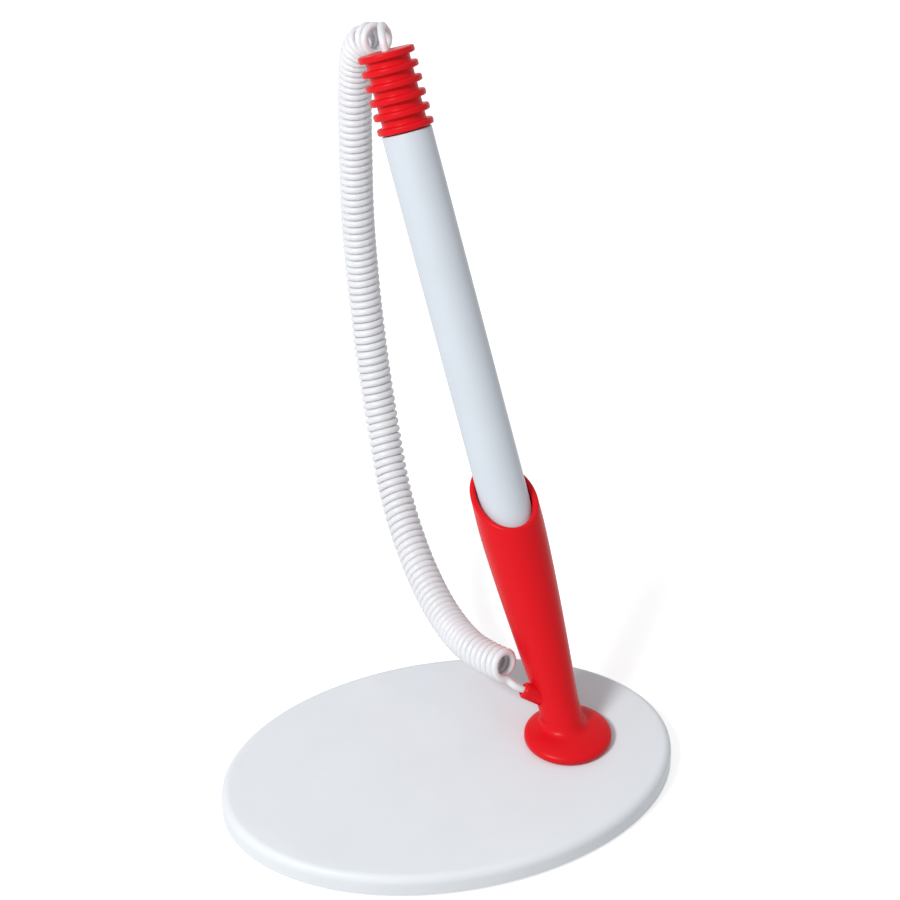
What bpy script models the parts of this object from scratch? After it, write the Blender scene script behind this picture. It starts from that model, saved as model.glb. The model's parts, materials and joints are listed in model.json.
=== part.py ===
"""Counter pen: an oval stand, a swivelling quill-cut holder, and a pen tied to it by a coiled cord.

Units are metres, +Z is up. The origin is the middle of the pad's underside, where the stand rests,
+X runs along the oval towards the holder and +Y points to the back, where the pen leans.
Stations are distances along the pen's axis, from the point where it meets the top of the base plate.
"""

import math

import bmesh
import bpy
import numpy as np
from mathutils import Matrix, Vector
from mathutils.geometry import interpolate_bezier

# Fits
SEAT_GAP = 0.0003          # between pieces that are pressed, screwed or glued together
PEN_CLEARANCE = 0.0003     # round the pen in its holder
BALL_GAP = 0.00005         # round the writing ball in its socket

# Base plate, pad and pivot
BASE_LENGTH = 0.102
BASE_WIDTH = 0.071
TOP_WALL = 0.0022
RIM_WALL = 0.0022
RIM_LIFT = 0.0004          # the rim hangs clear of the table, so the stand rests on its pad
RIM_CHAMFER = 0.0004
SHOULDER_RADIUS = 0.0019   # rounding of the plate's upper edge
PAD_THICKNESS = 0.0015
PAD_LEDGE = 0.003          # width of the step inside the rim that the pad is glued to
RIB_WIDTH = 0.0014
RIB_COUNT = 3              # cross ribs under the plate, between its far end and the pivot
RIB_SPACING = 0.017
PIVOT_INSET = 0.023        # from the plate's end to the pivot
SPIGOT_RADIUS = 0.0045
WASHER_RADIUS = 0.007
WASHER_THICKNESS = 0.0008
WELL_ROOM = 0.0012         # free space round the washer
SCREW_RADIUS = 0.0012
SCREW_LENGTH = 0.004
HEAD_RADIUS = 0.0028
HEAD_HEIGHT = 0.0013
HEAD_LIFT = 0.0003         # the screw head stays this far above the table
DRIVE_WIDTH = 0.0007       # cross recess in the screw head
DRIVE_LENGTH = 0.0034
DRIVE_DEPTH = 0.0007

# Holder
HOLDER_TURN = math.radians(13.2)   # how far the holder is swivelled from straight back
PEN_LEAN = math.radians(30.0)      # lean of the pen from upright
FOOT_RADIUS = 0.00975
FOOT_EDGE = 0.0014
FOOT_CROWN = 0.0036
FOOT_FILLET = 0.0013       # rounding between the stem and the foot's dome
FILLET_RISE = 1.4          # how far the rounding climbs the stem, as a share of its width
STEM_RADIUS = 0.0043
STEM_TOP = 0.009           # station where the stem starts to widen
BELLY_RADIUS = 0.0076
BELLY_STATION = 0.050
STEM_SWELL = 1.35          # how early the stem swells to the belly
LIP_RADIUS = 0.0071
MOUTH_LOW = 0.0504         # station of the mouth's low side
MOUTH_SLANT = math.radians(47.0)
MOUTH_TURN = math.radians(-10.0)   # how far the mouth's low side is turned from the front
CUT_START = 0.042          # below this station the holder is a plain turned shape
POCKET_ROOM = 0.0035       # pocket below the nose, for the writing tip
POCKET_TIP_RADIUS = 0.0018
LUG_RADIUS = 0.0019
LUG_ROOT_OUT = 0.0036      # the lug's rounded root, inside the stem's wall
LUG_ROOT_STATION = 0.0109
LUG_TIP_OUT = 0.0076
LUG_TIP_STATION = 0.0142
LUG_HOLE_DEPTH = 0.003

# Pen
NOSE_STATION = 0.016       # front of the nose cone
NOSE_LENGTH = 0.020
NOSE_FRONT_RADIUS = 0.002
NOSE_SWELL = 0.85          # below 1 the nose is slightly rounded
NOSE_LIP = 0.0025          # wall at the nose's front that the refill rests on
NOSE_SPIGOT = 0.008
BARREL_FRONT_RADIUS = 0.00545
BARREL_REAR_RADIUS = 0.0056
BARREL_LENGTH = 0.1038
BARREL_BORE = 0.0044
EDGE_BREAK = 0.0003        # small chamfer on the barrel, the plug, the foot and the lug
TUBE_RADIUS = 0.0017
TUBE_BORE = 0.0011
TUBE_LENGTH = 0.110
COLLAR_LENGTH = 0.006
COLLAR_SPIGOT = 0.004
COLLAR_BORE = 0.00095
TIP_RADIUS = 0.00115
TIP_NECK = 0.0018          # straight part of the writing tip
TIP_REACH = 0.0022         # how far the tip stands out of the nose
TIP_END_RADIUS = 0.00075
TIP_SHANK = 0.0028
BALL_RADIUS = 0.0005

# Rear cap
RING_COUNT = 6
RING_PITCH = 0.0032
RING_THICKNESS = 0.0015
RING_RADIUS = 0.0063
RING_ROUNDING = 0.00035
CAP_CORE_RADIUS = 0.00495
CAP_SPIGOT = 0.010
CAP_BORE = 0.0022
CAP_ROOF = 0.004
PLUG_LENGTH = 0.0035

# Coiled cord
WIRE_RADIUS = 0.0007
COIL_RADIUS = 0.0032       # middle of the wire
COIL_TURNS = 88
COIL_ENTRY = math.radians(225.0)   # where the wire joins the first turn, from its underside
COIL_EXIT = math.radians(170.0)    # where it leaves the last turn
LINK_PULL = 0.45           # how straight the wire leaves a turn, as a share of the way to its end
LINK_STEPS = 8
TAIL_LENGTH = 0.0014       # straight end outside the cap and the lug
LEAST_RATE = 0.3           # the most that the turns are spread in a bend
POINTS_PER_TURN = 8
# The coil's middle line, from behind the cap down to the lug: to the holder's right, back, height.
CORD_ROUTE = (
    (0.0026, 0.0866, 0.1405),
    (0.0018, 0.0906, 0.1387),
    (0.0016, 0.0939, 0.1345),
    (0.0020, 0.0961, 0.1272),
    (0.0020, 0.0967, 0.1189),
    (0.0018, 0.0964, 0.1074),
    (0.0013, 0.0952, 0.0922),
    (0.0010, 0.0926, 0.0746),
    (0.0000, 0.0880, 0.0610),
    (-0.0019, 0.0791, 0.0430),
    (-0.0048, 0.0677, 0.0302),
    (-0.0077, 0.0522, 0.0216),
    (-0.0102, 0.0348, 0.0186),
    (-0.0114, 0.0205, 0.0208),
    (-0.0107, 0.0140, 0.0223),
    (-0.0100, 0.0104, 0.0232),
)

# Facets
OVAL_STEPS = 64
ROUND_STEPS = 32
SMALL_STEPS = 20
ARC_STEPS = 5
NOSE_STEPS = 5
STEM_STEPS = 8
WALL_STEPS = 5
ROUTE_STEPS = 24
SMOOTH_ANGLE = math.radians(32.0)

# Heights that follow from the pieces stacked at the pivot
WASHER_BOTTOM = HEAD_LIFT + HEAD_HEIGHT + SEAT_GAP
SPIGOT_BOTTOM = WASHER_BOTTOM + WASHER_THICKNESS + SEAT_GAP
CEILING = SPIGOT_BOTTOM + SEAT_GAP
BASE_TOP = CEILING + TOP_WALL
PAD_SEAT = PAD_THICKNESS + SEAT_GAP
PIVOT_X = BASE_LENGTH / 2 - PIVOT_INSET
WELL_RADIUS = WASHER_RADIUS + WELL_ROOM
PILOT_RADIUS = SCREW_RADIUS + SEAT_GAP

# Stations that follow from the pieces lined up on the pen's axis
NOSE_REAR = NOSE_STATION + NOSE_LENGTH
BARREL_FRONT = NOSE_REAR + SEAT_GAP
BARREL_REAR = BARREL_FRONT + BARREL_LENGTH
CAP_BOTTOM = BARREL_REAR + SEAT_GAP
CAP_TOP = CAP_BOTTOM + (RING_COUNT - 1) * RING_PITCH + RING_THICKNESS
PLUG_TOP = CAP_TOP - CAP_ROOF - SEAT_GAP
REFILL_SEAT = NOSE_STATION + NOSE_LIP
COLLAR_BOTTOM = REFILL_SEAT + SEAT_GAP
TUBE_FRONT = COLLAR_BOTTOM + COLLAR_LENGTH + SEAT_GAP
TIP_END = NOSE_STATION - TIP_REACH
POCKET_RADIUS = BARREL_FRONT_RADIUS + PEN_CLEARANCE
WIRE_HOLE = WIRE_RADIUS + SEAT_GAP

AXIS = Vector((0.0, 0.0, 1.0))


def clear_scene():
    """Start from an empty scene."""
    for item in list(bpy.data.objects):
        bpy.data.objects.remove(item, do_unlink=True)


def finish(name, colour, roughness, metallic=0.0):
    """Return a Principled material."""
    material = bpy.data.materials.new(name)
    material.use_nodes = True
    shader = material.node_tree.nodes["Principled BSDF"]
    shader.inputs["Base Color"].default_value = (*colour, 1.0)
    shader.inputs["Roughness"].default_value = roughness
    shader.inputs["Metallic"].default_value = metallic
    return material


def empty(name, parent=None, location=(0.0, 0.0, 0.0), rotation=(0.0, 0.0, 0.0)):
    """Return an axis that pieces are parented to."""
    item = bpy.data.objects.new(name, None)
    item.empty_display_size = 0.01
    item.location = location
    item.rotation_euler = rotation
    item.parent = parent
    bpy.context.collection.objects.link(item)
    return item


def piece(name, shape, parent=None, material=None):
    """Turn a bmesh into a smooth-shaded object."""
    bmesh.ops.recalc_face_normals(shape, faces=shape.faces)
    mesh = bpy.data.meshes.new(name)
    shape.to_mesh(mesh)
    shape.free()
    mesh.shade_smooth()
    mesh.set_sharp_from_angle(angle=SMOOTH_ANGLE)
    if material:
        mesh.materials.append(material)
    item = bpy.data.objects.new(name, mesh)
    item.parent = parent
    bpy.context.collection.objects.link(item)
    return item


def tool(name, shape, parent=None):
    """Return a hidden shape that cuts or joins another."""
    item = piece(name, shape, parent)
    item.hide_render = True
    item.display_type = 'WIRE'
    return item


def combine(target, other, operation):
    """Add a Boolean modifier."""
    modifier = target.modifiers.new(other.name, 'BOOLEAN')
    modifier.operation = operation
    modifier.solver = 'EXACT'
    modifier.object = other


def turned(profile, steps=ROUND_STEPS, closed=False):
    """Spin a profile of (radius, height) points round +Z. A closed one makes a ring or a tube."""
    shape = bmesh.new()
    points = [shape.verts.new((radius, 0.0, height)) for radius, height in profile]
    pairs = list(zip(points, points[1:]))
    if closed:
        pairs.append((points[-1], points[0]))
    edges = [shape.edges.new(pair) for pair in pairs]
    bmesh.ops.spin(shape, geom=points + edges, cent=(0, 0, 0), axis=AXIS,
                   angle=2 * math.pi, steps=steps, use_merge=True)
    bmesh.ops.remove_doubles(shape, verts=shape.verts, dist=1e-7)
    return shape


def oval_stack(levels):
    """Loft ovals, each set in from the plate's outline by an inset, at the given heights."""
    shape = bmesh.new()
    loops = []
    for inset, height in levels:
        ring = []
        for step in range(OVAL_STEPS):
            angle = 2 * math.pi * step / OVAL_STEPS
            x = (BASE_LENGTH / 2 - inset) * math.cos(angle)
            y = (BASE_WIDTH / 2 - inset) * math.sin(angle)
            ring.append(shape.verts.new((x, y, height)))
        loops.append([shape.edges.new((a, b)) for a, b in zip(ring, ring[1:] + ring[:1])])
        if len(loops) > 1:
            bmesh.ops.bridge_loops(shape, edges=loops[-2] + loops[-1])
    for loop in (loops[0], loops[-1]):
        bmesh.ops.edgeloop_fill(shape, edges=loop)
    return shape


def block(size, centre):
    """Return a box."""
    shape = bmesh.new()
    bmesh.ops.create_cube(shape, size=1.0, matrix=Matrix.LocRotScale(Vector(centre), None, Vector(size)))
    return shape


def cylinder(radius, bottom, top, steps=ROUND_STEPS):
    """Return a capped cylinder on +Z."""
    return turned([(0.0, top), (radius, top), (radius, bottom), (0.0, bottom)], steps)


def quarter_arc(centre, radius, start):
    """Points of a quarter circle in the (radius, height) plane, from the angle start anticlockwise."""
    points = []
    for step in range(ARC_STEPS + 1):
        angle = start + math.pi / 2 * step / ARC_STEPS
        points.append((centre[0] + radius * math.cos(angle), centre[1] + radius * math.sin(angle)))
    return points


def build_base_plate(material):
    """Oval moulding, open below, with a pad step, cross ribs and a well for the pivot."""
    levels = [(RIM_CHAMFER, RIM_LIFT), (0.0, RIM_LIFT + RIM_CHAMFER)]
    for radius, height in quarter_arc((0.0, BASE_TOP - SHOULDER_RADIUS), SHOULDER_RADIUS, 0.0):
        levels.append((SHOULDER_RADIUS - radius, height))
    plate = piece("base_plate", oval_stack(levels), material=material)

    below = -RIM_WALL
    recess = tool("pad_recess", oval_stack([(RIM_WALL, below), (RIM_WALL, PAD_SEAT)]))
    pocket_inset = RIM_WALL + PAD_LEDGE
    pocket = tool("rib_pockets", oval_stack([(pocket_inset, below), (pocket_inset, CEILING)]))
    for index in range(RIB_COUNT):
        x = PIVOT_X - WELL_RADIUS - (index + 1) * RIB_SPACING
        rib = tool(f"cross_rib_{index}", block((RIB_WIDTH, BASE_WIDTH, BASE_TOP * 3), (x, 0.0, 0.0)))
        combine(pocket, rib, 'DIFFERENCE')
    spine_end = PIVOT_X
    spine_start = -BASE_LENGTH / 2
    spine_size = (spine_end - spine_start, RIB_WIDTH, BASE_TOP * 3)
    spine = block(spine_size, ((spine_end + spine_start) / 2, 0.0, 0.0))
    combine(pocket, tool("spine_rib", spine), 'DIFFERENCE')

    pivot = empty("pivot", location=(PIVOT_X, 0.0, 0.0))
    collar = tool("well_wall", cylinder(WELL_RADIUS + RIB_WIDTH, below * 2, BASE_TOP * 2), pivot)
    combine(pocket, collar, 'DIFFERENCE')
    combine(plate, recess, 'DIFFERENCE')
    combine(plate, pocket, 'DIFFERENCE')
    combine(plate, tool("pivot_well", cylinder(WELL_RADIUS, below, CEILING), pivot), 'DIFFERENCE')
    hole = cylinder(SPIGOT_RADIUS + SEAT_GAP, below, BASE_TOP * 2)
    combine(plate, tool("pivot_hole", hole, pivot), 'DIFFERENCE')
    return plate


def build_base_pad(material):
    """Foam pad under the plate, with a window for the pivot screw."""
    inset = RIM_WALL + SEAT_GAP
    pad = piece("base_pad", oval_stack([(inset, 0.0), (inset, PAD_THICKNESS)]), material=material)
    pivot = empty("pad_window_centre", location=(PIVOT_X, 0.0, 0.0))
    window = tool("pad_window", cylinder(WELL_RADIUS, -PAD_THICKNESS, PAD_THICKNESS * 2), pivot)
    combine(pad, window, 'DIFFERENCE')
    return pad


def build_pivot(swivel, material):
    """Washer and screw that hold the holder's spigot in the plate, from below."""
    bottom = WASHER_BOTTOM - BASE_TOP
    top = bottom + WASHER_THICKNESS
    ring = [(PILOT_RADIUS, top), (WASHER_RADIUS, top), (WASHER_RADIUS, bottom), (PILOT_RADIUS, bottom)]
    piece("pivot_washer", turned(ring, closed=True), swivel, material)

    seat = bottom - SEAT_GAP
    end = SPIGOT_BOTTOM - BASE_TOP + SCREW_LENGTH
    dome = HEAD_HEIGHT / 2
    profile = [
        (0.0, end),
        (SCREW_RADIUS / 3, end),
        (SCREW_RADIUS, end - SCREW_RADIUS),
        (SCREW_RADIUS, seat),
        (HEAD_RADIUS, seat),
        (HEAD_RADIUS, seat - HEAD_HEIGHT + dome),
        (HEAD_RADIUS - dome / 2, seat - HEAD_HEIGHT),
        (0.0, seat - HEAD_HEIGHT),
    ]
    screw = piece("pivot_screw", turned(profile, SMALL_STEPS), swivel, material)
    for index, size in enumerate(((DRIVE_LENGTH, DRIVE_WIDTH), (DRIVE_WIDTH, DRIVE_LENGTH))):
        slot = block((*size, DRIVE_DEPTH * 2), (0.0, 0.0, seat - HEAD_HEIGHT))
        combine(screw, tool(f"drive_slot_{index}", slot, swivel), 'DIFFERENCE')


def holder_radius(station, top):
    """Outer radius of the holder: tapered stem, belly, and a lip drawn in a little."""
    if station > BELLY_STATION:
        share = (station - BELLY_STATION) / (top - BELLY_STATION)
        return BELLY_RADIUS - (BELLY_RADIUS - LIP_RADIUS) * share ** 2
    share = max(0.0, (station - STEM_TOP) / (BELLY_STATION - STEM_TOP))
    return STEM_RADIUS + (BELLY_RADIUS - STEM_RADIUS) * (1.0 - (1.0 - share) ** STEM_SWELL)


def nose_radius(share):
    """Outer radius of the nose cone, from its front (0) to its rear (1)."""
    return NOSE_FRONT_RADIUS + (BARREL_FRONT_RADIUS - NOSE_FRONT_RADIUS) * share ** NOSE_SWELL


def nose_profile(clearance):
    """Points (radius, station) along the nose cone from its rear to its front."""
    points = []
    for step in range(NOSE_STEPS + 1):
        share = 1.0 - step / NOSE_STEPS
        points.append((nose_radius(share) + clearance, NOSE_STATION + NOSE_LENGTH * share))
    return points


def on_pen(angle, radius, station):
    """Point of the holder's upright frame, at an angle round the leaning pen's axis from its front."""
    spot = Vector((radius * math.sin(angle), -radius * math.cos(angle), station))
    return Matrix.Rotation(-PEN_LEAN, 3, 'X') @ spot


def dome_height(radius):
    """Height of the foot's dome at a distance from the pivot."""
    share = min(1.0, radius / FOOT_RADIUS)
    return FOOT_EDGE + (FOOT_CROWN - FOOT_EDGE) * math.sqrt(1.0 - share ** 2)


def stem_root(angle, top):
    """Station where one line of the stem comes out of the dome, found by halving."""
    low, high = 0.0, CUT_START
    for _ in range(40):
        middle = (low + high) / 2
        point = on_pen(angle, holder_radius(middle, top), middle)
        if point.z > dome_height(point.to_2d().length):
            high = middle
        else:
            low = middle
    return high


def foot_column(angle, top):
    """One column of the foot: spigot, underside, edge, dome and the fillet up to the stem."""
    plan = Vector((math.sin(angle), -math.cos(angle), 0.0))
    spigot_end = SPIGOT_BOTTOM - BASE_TOP
    column = [plan * SPIGOT_RADIUS + AXIS * spigot_end, plan * SPIGOT_RADIUS + AXIS * SEAT_GAP]
    column.append(plan * (FOOT_RADIUS - EDGE_BREAK) + AXIS * SEAT_GAP)
    column.append(plan * FOOT_RADIUS + AXIS * (SEAT_GAP + EDGE_BREAK))
    root = stem_root(angle, top)
    corner = on_pen(angle, holder_radius(root, top), root)
    outward = (corner - on_pen(angle, 0.0, root)).to_2d().normalized()
    start = corner.to_2d() + outward * FOOT_FILLET
    for step in range(ARC_STEPS + 1):
        share = 1.0 - math.cos(math.pi / 2 * step / ARC_STEPS)
        place = (plan.to_2d() * FOOT_RADIUS).lerp(start, share)
        column.append(Vector((*place, dome_height(place.length))))
    fillet_top = root + FOOT_FILLET * FILLET_RISE
    end = on_pen(angle, holder_radius(fillet_top, top), fillet_top)
    begin = column[-1]
    for step in range(1, ARC_STEPS):
        share = step / ARC_STEPS
        column.append(begin.lerp(corner, share).lerp(corner.lerp(end, share), share))
    return column, fillet_top


def socket_column(angle, stem_start, top, lip_centre):
    """One column of the stem and socket: up the outside, over the lip and down the pocket."""
    column = []
    for step in range(STEM_STEPS):
        station = stem_start + (CUT_START - stem_start) * step / STEM_STEPS
        column.append((holder_radius(station, top), station))
    for step in range(WALL_STEPS):
        station = CUT_START + (lip_centre - CUT_START) * step / WALL_STEPS
        column.append((holder_radius(station, top), station))
    outer = holder_radius(lip_centre, top)
    half_wall = (outer - POCKET_RADIUS) / 2
    for step in range(ARC_STEPS + 1):
        turn = math.pi * step / ARC_STEPS
        radius = POCKET_RADIUS + half_wall * (1.0 + math.cos(turn))
        column.append((radius, lip_centre + half_wall * math.sin(turn)))
    column.append((POCKET_RADIUS, (CUT_START + lip_centre) / 2))
    column.extend(nose_profile(PEN_CLEARANCE))
    column.append((POCKET_TIP_RADIUS, NOSE_STATION - PEN_CLEARANCE))
    column.append((POCKET_TIP_RADIUS, NOSE_STATION - POCKET_ROOM))
    return [on_pen(angle, radius, station) for radius, station in column]


def holder_skin():
    """Foot, stem and quill-cut socket in one skin, with the lip low at the front."""
    lip_round = (LIP_RADIUS - POCKET_RADIUS) / 2
    rise = (LIP_RADIUS + POCKET_RADIUS) / 2 * math.tan(MOUTH_SLANT)
    top = MOUTH_LOW + 2 * rise
    shape = bmesh.new()
    columns = []
    for step in range(ROUND_STEPS):
        angle = 2 * math.pi * step / ROUND_STEPS
        lip_centre = MOUTH_LOW + (1.0 - math.cos(angle - MOUTH_TURN)) * rise - lip_round
        foot, stem_start = foot_column(angle, top)
        socket = socket_column(angle, stem_start, top, lip_centre)
        columns.append([shape.verts.new(point) for point in foot + socket])
    for here, there in zip(columns, columns[1:] + columns[:1]):
        for row in range(len(here) - 1):
            shape.faces.new((here[row], there[row], there[row + 1], here[row + 1]))
    shape.faces.new([column[0] for column in columns])
    shape.faces.new([column[-1] for column in columns])
    return shape


def lug_axis():
    """Root and tip of the lug in the pen's frame."""
    root = Vector((-LUG_ROOT_OUT, 0.0, LUG_ROOT_STATION))
    tip = Vector((-LUG_TIP_OUT, 0.0, LUG_TIP_STATION))
    return root, tip


def holder_lug():
    """Peg with a rounded root, on +Z from its root."""
    root, tip = lug_axis()
    length = (tip - root).length
    rim = LUG_RADIUS - EDGE_BREAK
    profile = [(0.0, length), (rim, length), (LUG_RADIUS, length - EDGE_BREAK)]
    profile += reversed(quarter_arc((0.0, 0.0), LUG_RADIUS, -math.pi / 2)[1:])
    profile.append((0.0, -LUG_RADIUS))
    return turned(profile, SMALL_STEPS)


def build_holder(swivel, pen_axis, material):
    """Socket, stem, foot and cord lug, moulded in one."""
    holder = piece("holder", holder_skin(), swivel, material)
    root, tip = lug_axis()
    heading = (tip - root).normalized()
    lug_frame = empty("lug_axis", pen_axis, root, AXIS.rotation_difference(heading).to_euler())
    combine(holder, tool("lug", holder_lug(), lug_frame), 'UNION')

    length = (tip - root).length
    wire_hole = cylinder(WIRE_HOLE, length - LUG_HOLE_DEPTH, length * 2, SMALL_STEPS)
    combine(holder, tool("lug_hole", wire_hole, lug_frame), 'DIFFERENCE')
    spigot_end = SPIGOT_BOTTOM - BASE_TOP
    pilot_top = spigot_end + SCREW_LENGTH + SEAT_GAP
    pilot = cylinder(PILOT_RADIUS, spigot_end - SCREW_LENGTH, pilot_top, SMALL_STEPS)
    combine(holder, tool("pilot_hole", pilot, swivel), 'DIFFERENCE')
    return holder


def build_barrel(pen_axis, material):
    """Slightly tapered tube."""
    taper = (BARREL_REAR_RADIUS - BARREL_FRONT_RADIUS) / BARREL_LENGTH * EDGE_BREAK
    profile = [
        (BARREL_BORE, BARREL_REAR),
        (BARREL_REAR_RADIUS - EDGE_BREAK, BARREL_REAR),
        (BARREL_REAR_RADIUS - taper, BARREL_REAR - EDGE_BREAK),
        (BARREL_FRONT_RADIUS, BARREL_FRONT),
        (BARREL_BORE, BARREL_FRONT),
    ]
    piece("barrel", turned(profile, closed=True), pen_axis, material)


def build_nose_cone(pen_axis, material):
    """Tapered front that plugs into the barrel and carries the refill on its inner lip."""
    spigot = BARREL_BORE - SEAT_GAP
    bore = TUBE_RADIUS + SEAT_GAP
    front_hole = TIP_RADIUS + SEAT_GAP
    profile = [(bore, NOSE_REAR + NOSE_SPIGOT), (spigot, NOSE_REAR + NOSE_SPIGOT), (spigot, NOSE_REAR)]
    profile += nose_profile(0.0)
    profile += [(front_hole, NOSE_STATION), (front_hole, REFILL_SEAT), (bore, REFILL_SEAT)]
    piece("nose_cone", turned(profile, closed=True), pen_axis, material)


def build_refill(pen_axis, plastic, brass, steel):
    """Ink tube, brass collar, writing tip and ball."""
    rear = TUBE_FRONT + TUBE_LENGTH
    tube = [(TUBE_BORE, rear), (TUBE_RADIUS, rear), (TUBE_RADIUS, TUBE_FRONT), (TUBE_BORE, TUBE_FRONT)]
    piece("ink_tube", turned(tube, SMALL_STEPS, closed=True), pen_axis, plastic)

    spigot = TUBE_BORE - SEAT_GAP
    step = COLLAR_BOTTOM + COLLAR_LENGTH
    shank_room = TIP_SHANK + SEAT_GAP
    collar = [
        (0.0, step + COLLAR_SPIGOT),
        (spigot, step + COLLAR_SPIGOT),
        (spigot, step),
        (TUBE_RADIUS, step),
        (TUBE_RADIUS, COLLAR_BOTTOM),
        (COLLAR_BORE, COLLAR_BOTTOM),
        (COLLAR_BORE, COLLAR_BOTTOM + shank_room),
        (0.0, COLLAR_BOTTOM + shank_room),
    ]
    piece("tip_collar", turned(collar, SMALL_STEPS), pen_axis, brass)

    shank = COLLAR_BORE - SEAT_GAP
    head = COLLAR_BOTTOM - SEAT_GAP
    socket = BALL_RADIUS + BALL_GAP
    tip = [
        (0.0, COLLAR_BOTTOM + TIP_SHANK),
        (shank, COLLAR_BOTTOM + TIP_SHANK),
        (shank, head),
        (TIP_RADIUS, head),
        (TIP_RADIUS, head - TIP_NECK),
        (TIP_END_RADIUS, TIP_END),
        (socket, TIP_END),
        (socket, TIP_END + socket),
        (0.0, TIP_END + socket),
    ]
    piece("writing_tip", turned(tip, SMALL_STEPS), pen_axis, steel)

    ball = bmesh.new()
    place = Matrix.Translation(AXIS * TIP_END)
    bmesh.ops.create_icosphere(ball, subdivisions=2, radius=BALL_RADIUS, matrix=place)
    piece("writing_ball", ball, pen_axis, steel)


def build_rear_cap(pen_axis, material):
    """Ringed cap that plugs into the barrel, with a hole in its roof for the cord."""
    spigot = BARREL_BORE - SEAT_GAP
    profile = [(WIRE_HOLE, CAP_TOP)]
    for index in reversed(range(RING_COUNT)):
        low = CAP_BOTTOM + index * RING_PITCH
        high = low + RING_THICKNESS
        if index < RING_COUNT - 1:
            profile.append((CAP_CORE_RADIUS, high))
        profile += [
            (RING_RADIUS - RING_ROUNDING, high),
            (RING_RADIUS, high - RING_ROUNDING),
            (RING_RADIUS, low + RING_ROUNDING),
            (RING_RADIUS - RING_ROUNDING, low),
        ]
        if index:
            profile.append((CAP_CORE_RADIUS, low))
    profile += [
        (spigot, CAP_BOTTOM),
        (spigot, CAP_BOTTOM - CAP_SPIGOT),
        (CAP_BORE, CAP_BOTTOM - CAP_SPIGOT),
        (CAP_BORE, CAP_TOP - CAP_ROOF),
        (WIRE_HOLE, CAP_TOP - CAP_ROOF),
    ]
    piece("rear_cap", turned(profile, closed=True), pen_axis, material)


def build_cord_plug(pen_axis, material):
    """Bead on the cord's end, held under the cap's roof."""
    radius = CAP_BORE - SEAT_GAP
    bottom = PLUG_TOP - PLUG_LENGTH
    profile = [
        (0.0, PLUG_TOP),
        (radius - EDGE_BREAK, PLUG_TOP),
        (radius, PLUG_TOP - EDGE_BREAK),
        (radius, bottom + EDGE_BREAK),
        (radius - EDGE_BREAK, bottom),
        (0.0, bottom),
    ]
    piece("cord_plug", turned(profile, SMALL_STEPS), pen_axis, material)


def smooth_line(knots):
    """Sample a smooth curve through the knots."""
    spans = [(b - a).length for a, b in zip(knots, knots[1:])]
    slopes = [(knots[1] - knots[0]) / spans[0]]
    for index in range(1, len(knots) - 1):
        before = (knots[index] - knots[index - 1]) / spans[index - 1]
        after = (knots[index + 1] - knots[index]) / spans[index]
        weight = spans[index] / (spans[index - 1] + spans[index])
        slopes.append(before * weight + after * (1.0 - weight))
    slopes.append((knots[-1] - knots[-2]) / spans[-1])
    line = [knots[0]]
    for index, span in enumerate(spans):
        leave = knots[index] + slopes[index] * span / 3
        arrive = knots[index + 1] - slopes[index + 1] * span / 3
        line += interpolate_bezier(knots[index], leave, arrive, knots[index + 1], ROUTE_STEPS + 1)[1:]
    return np.array(line)


def carried_frames(line):
    """Headings along a line, and two normals that are carried along it without twisting."""
    headings = np.gradient(line, axis=0)
    headings /= np.linalg.norm(headings, axis=1)[:, None]
    normal = np.cross(headings[0], (1.0, 0.0, 0.0))
    normals = []
    for heading in headings:
        normal = normal - heading * np.dot(normal, heading)
        normal /= np.linalg.norm(normal)
        normals.append(normal)
    normals = np.array(normals)
    return headings, normals, np.cross(headings, normals)


def coil_points(line):
    """Wind the wire round a middle line, from its first turn to its last."""
    steps = np.linalg.norm(np.diff(line, axis=0), axis=1)
    along = np.concatenate(([0.0], np.cumsum(steps)))
    headings, normals, binormals = carried_frames(line)
    bend = np.linalg.norm(np.gradient(headings, axis=0), axis=1) / np.gradient(along)
    # Turns are spread where the line bends, so that they stay apart on the inside of the bend.
    rate = np.clip(1.0 - COIL_RADIUS * bend, LEAST_RATE, 1.0)
    phase = np.concatenate(([0.0], np.cumsum((rate[1:] + rate[:-1]) / 2 * steps)))
    turns = COIL_TURNS + (COIL_EXIT - COIL_ENTRY) / (2 * math.pi)
    phase *= turns / phase[-1]
    points = []
    for turn in np.linspace(0.0, turns, round(turns * POINTS_PER_TURN) + 1):
        here = np.interp(turn, phase, along)
        centre, normal, binormal = (np.array([np.interp(here, along, values[:, i]) for i in range(3)])
                                    for values in (line, normals, binormals))
        angle = COIL_ENTRY + 2 * math.pi * turn
        outward = normal * math.cos(angle) + binormal * math.sin(angle)
        points.append(Vector(centre + COIL_RADIUS * outward))
    return points


def link(start, start_heading, end, end_heading):
    """Points between a turn of the coil and a straight end of the wire."""
    pull = (end - start).length * LINK_PULL
    leave = start + start_heading * pull
    arrive = end - end_heading * pull
    return interpolate_bezier(start, leave, arrive, end, LINK_STEPS + 2)[1:-1]


def least_gap(points):
    """Least gap between a wire's surface and itself, measured on its points."""
    spots = np.array(points)
    distances = np.linalg.norm(spots[:, None] - spots[None, :], axis=2)
    order = np.arange(len(spots))
    apart = np.abs(order[:, None] - order[None, :]) >= POINTS_PER_TURN * 3 // 4
    return distances[apart].min() - 2 * WIRE_RADIUS


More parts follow.
